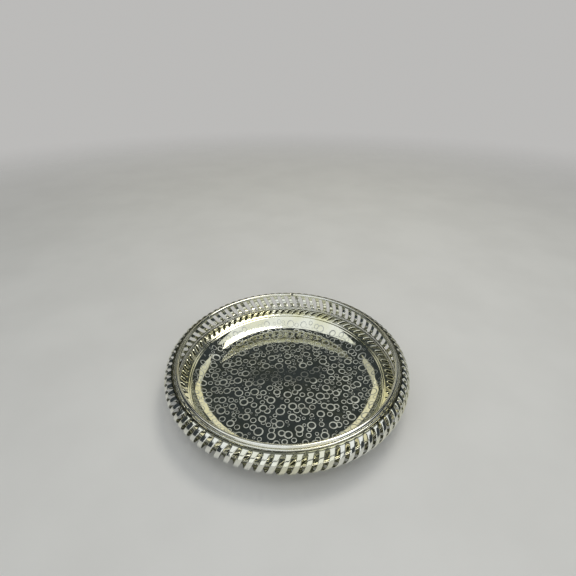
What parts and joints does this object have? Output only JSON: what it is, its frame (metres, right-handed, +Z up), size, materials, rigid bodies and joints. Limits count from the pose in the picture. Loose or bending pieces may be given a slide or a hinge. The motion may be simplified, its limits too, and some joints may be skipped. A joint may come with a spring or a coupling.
{
  "type": "gallery tray",
  "caption": "Round brass gallery tray with an etched dish, a pierced slanting-bar gallery and a wire rim.",
  "frame": {"origin": "middle of the underside, on the surface that the tray stands on", "axes": "+Z up along the tray's axis; +Y towards the joint of the rim; +X to the right"},
  "size_m": [0.253, 0.253, 0.0416],
  "materials": {
    "etched_brass": "polished, with rings etched matt on it",
    "pierced_brass": "polished, softened edges",
    "wire_brass": "polished",
    "solder": "dull, scraped solder"
  },
  "bodies": {
    "root": {"dish": "etched_brass", "ledge_ring": "pierced_brass", "waist_wire": "wire_brass", "gallery_band": "pierced_brass", "inner_rim_wire": "wire_brass", "outer_rim_wire": "wire_brass", "gallery_joint_solder": "solder", "rim_joint_solder": "solder", "ledge_solder": "solder"}
  },
  "joints": []
}
